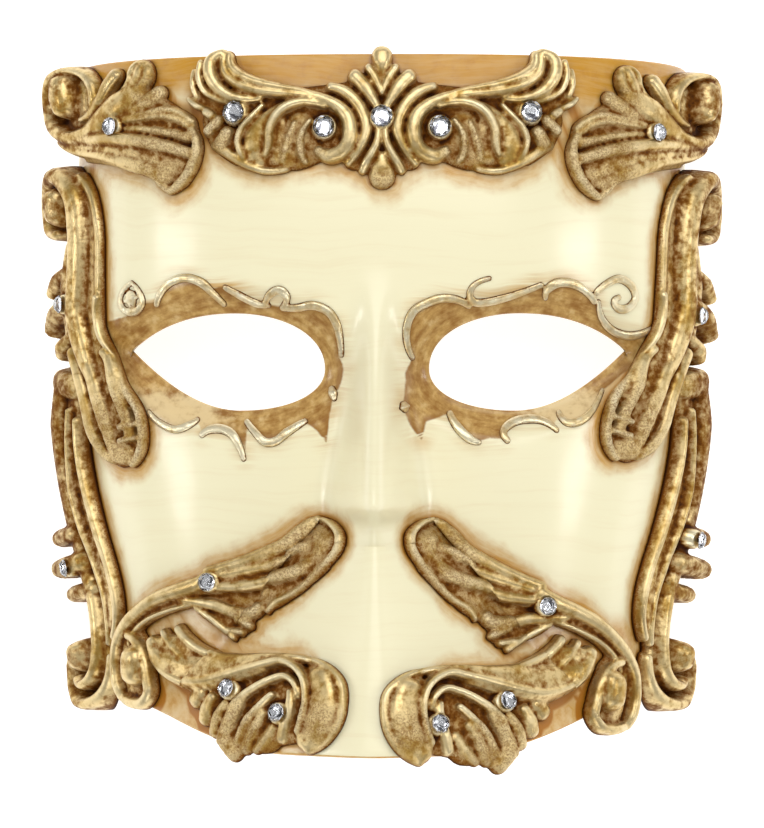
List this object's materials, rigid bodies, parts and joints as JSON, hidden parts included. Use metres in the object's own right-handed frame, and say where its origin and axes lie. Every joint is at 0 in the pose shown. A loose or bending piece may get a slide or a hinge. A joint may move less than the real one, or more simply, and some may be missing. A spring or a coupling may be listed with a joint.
{
  "type": "venetian mask",
  "caption": "Full-face Venetian carnival mask: hollow ivory papier-mâché shell, eye holes, jutting chin prow, applied silver-gold scroll castings set with clear crystals.",
  "frame": {"origin": "on the plane of the side rims that the mask lies on, under the middle of its outline", "axes": "+X to the right-hand side of someone facing the mask, +Y from chin to forehead, +Z out of the face, away from the open back"},
  "size_m": [0.2021, 0.2031, 0.1024],
  "materials": {
    "lacquered_paper": "papier-mâché under a glossy ivory lacquer with a brown antiquing glaze, plain card-coloured inside",
    "silver_gold_leaf": "cast resin under silver-gold leaf, rubbed bright on the ridges and dark brown in the hollows",
    "foil_backed_crystal": "clear cut glass over a mirror foil"
  },
  "bodies": {
    "root": {"mask_shell": "lacquered_paper", "brow_crest": "silver_gold_leaf", "brow_corner_leaf_left": "silver_gold_leaf", "brow_corner_leaf_right": "silver_gold_leaf", "temple_scroll_left": "silver_gold_leaf", "temple_scroll_right": "silver_gold_leaf", "cheek_scroll_left": "silver_gold_leaf", "cheek_scroll_right": "silver_gold_leaf", "moustache_leaf_left": "silver_gold_leaf", "moustache_leaf_right": "silver_gold_leaf", "chin_leaf_left": "silver_gold_leaf", "chin_leaf_right": "silver_gold_leaf", "crystal_brow_centre": "foil_backed_crystal", "crystal_brow_inner_left": "foil_backed_crystal", "crystal_brow_inner_right": "foil_backed_crystal", "crystal_brow_outer_left": "foil_backed_crystal", "crystal_brow_outer_right": "foil_backed_crystal", "crystal_corner_left": "foil_backed_crystal", "crystal_corner_right": "foil_backed_crystal", "crystal_temple_left": "foil_backed_crystal", "crystal_temple_right": "foil_backed_crystal", "crystal_cheek_left": "foil_backed_crystal", "crystal_cheek_right": "foil_backed_crystal", "crystal_moustache_left": "foil_backed_crystal", "crystal_moustache_right": "foil_backed_crystal", "crystal_chin_outer_left": "foil_backed_crystal", "crystal_chin_outer_right": "foil_backed_crystal", "crystal_chin_inner_left": "foil_backed_crystal", "crystal_chin_inner_right": "foil_backed_crystal"}
  },
  "joints": []
}
